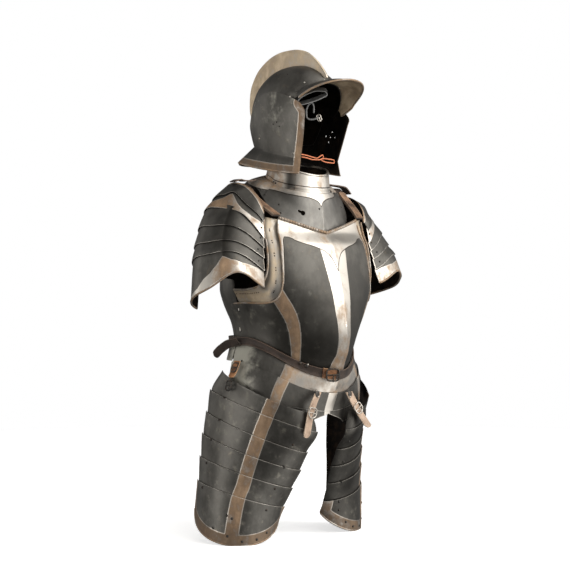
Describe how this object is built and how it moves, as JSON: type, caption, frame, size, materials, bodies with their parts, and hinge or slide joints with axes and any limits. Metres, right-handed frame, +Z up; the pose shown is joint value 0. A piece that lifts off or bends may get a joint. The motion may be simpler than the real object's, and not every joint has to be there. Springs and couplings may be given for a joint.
{
  "type": "half armour",
  "caption": "Half armour of black and bright steel plate: open-faced crested helmet, gorget, breast and back with waist belt, laminated shoulder defences, fauld and tassets.",
  "frame": {"origin": "middle of the line between the two shoulder tops, on the plane of symmetry", "axes": "+Z up along the body, -Y the way the wearer faces, +X to the wearer's left"},
  "size_m": [0.6008, 0.3602, 1.1398],
  "materials": {
    "blackened_steel": "satin black oxide, rubbed",
    "bright_steel": "polished bands with brown patina",
    "dark_leather": "worn dark brown",
    "tan_leather": "worn tan",
    "black_iron": "black iron",
    "orange_cord": "woven cord"
  },
  "bodies": {
    "root": {"backplate": "blackened_steel", "belt": "dark_leather", "belt_buckle": "black_iron", "belt_end": "dark_leather", "breastplate": "blackened_steel", "burgonet_peak": "bright_steel", "burgonet_skull": "blackened_steel", "cheek_left": "blackened_steel", "cheek_right": "blackened_steel", "chin_cord": "orange_cord", "collar_back": "bright_steel", "collar_front": "bright_steel", "culet": "blackened_steel", "fauld_1": "bright_steel", "fauld_2": "blackened_steel", "fauld_3": "blackened_steel", "gorget_back": "blackened_steel", "gorget_front": "blackened_steel", "gusset_left": "bright_steel", "gusset_right": "bright_steel", "inner_buckle_left": "black_iron", "inner_buckle_right": "black_iron", "inner_strap_left": "tan_leather", "inner_strap_right": "tan_leather", "liner_strap": "dark_leather", "neck_guard": "blackened_steel", "outer_buckle_left": "black_iron", "outer_buckle_right": "black_iron", "outer_strap_left": "tan_leather", "outer_strap_right": "tan_leather", "pauldron_left_1": "blackened_steel", "pauldron_left_2": "blackened_steel", "pauldron_left_3": "blackened_steel", "pauldron_left_4": "blackened_steel", "pauldron_left_5": "blackened_steel", "pauldron_left_6": "blackened_steel", "pauldron_right_1": "blackened_steel", "pauldron_right_2": "blackened_steel", "pauldron_right_3": "blackened_steel", "pauldron_right_4": "blackened_steel", "pauldron_right_5": "blackened_steel", "pauldron_right_6": "blackened_steel", "pauldron_strap_left": "dark_leather", "pauldron_strap_right": "dark_leather", "shoulder_strap_left": "dark_leather", "shoulder_strap_right": "dark_leather", "tasset_left_1": "blackened_steel", "tasset_left_2": "blackened_steel", "tasset_left_3": "blackened_steel", "tasset_left_4": "blackened_steel", "tasset_left_5": "blackened_steel", "tasset_left_6": "blackened_steel", "tasset_right_1": "blackened_steel", "tasset_right_2": "blackened_steel", "tasset_right_3": "blackened_steel", "tasset_right_4": "blackened_steel", "tasset_right_5": "blackened_steel", "tasset_right_6": "blackened_steel"}
  },
  "joints": []
}
